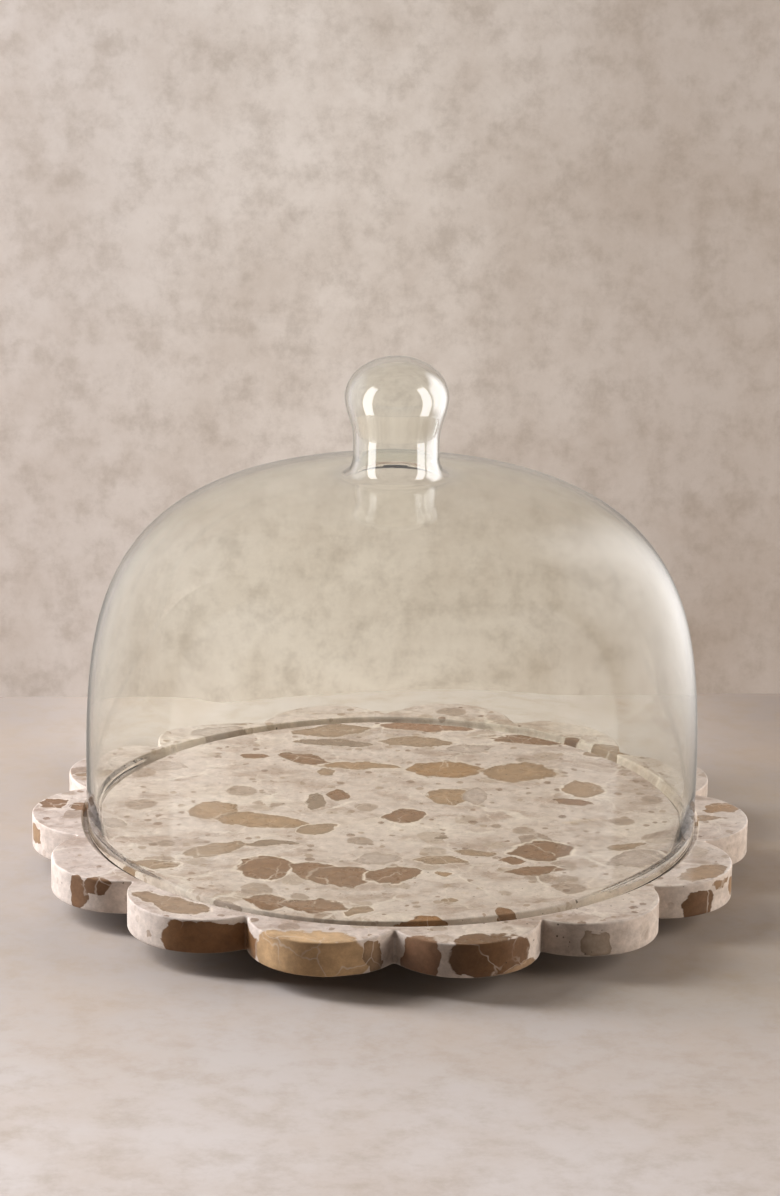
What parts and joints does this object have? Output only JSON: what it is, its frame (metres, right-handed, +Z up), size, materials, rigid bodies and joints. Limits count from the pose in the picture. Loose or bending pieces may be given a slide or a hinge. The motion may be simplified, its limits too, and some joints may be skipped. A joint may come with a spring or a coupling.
{
  "type": "cheese dome",
  "caption": "Clear blown glass dome with a hollow knob, standing in the ring groove of a round scalloped stone serving board on rubber feet.",
  "frame": {"origin": "on the table, in the middle under the board, at the undersides of the feet", "axes": "+Z up along the dome's and the board's common axis, -Y towards the front, where the board's edge has a notch, +X to the right when seen from the front"},
  "size_m": [0.354, 0.347, 0.258],
  "materials": {
    "clear_glass": "clear blown soda-lime glass with a faint grey-green tint, fire-polished rim",
    "brecciated_stone": "cream marble breccia with taupe and brown clasts, pale veins and small pits, honed top, satin sides",
    "foot_rubber": "matt dark rubber",
    "adhesive": "translucent pale acrylic adhesive"
  },
  "bodies": {
    "board": {"scalloped_board": "brecciated_stone", "rubber_foot_1": "foot_rubber", "rubber_foot_2": "foot_rubber", "rubber_foot_3": "foot_rubber", "rubber_foot_4": "foot_rubber", "adhesive_disc_1": "adhesive", "adhesive_disc_2": "adhesive", "adhesive_disc_3": "adhesive", "adhesive_disc_4": "adhesive"},
    "dome": {"glass_dome": "clear_glass"}
  },
  "joints": [
    {"name": "dome_lift", "type": "slide", "parent": "board", "child": "dome", "axis": [0, 0, 1], "range_m": [0, 0.3]}
  ]
}
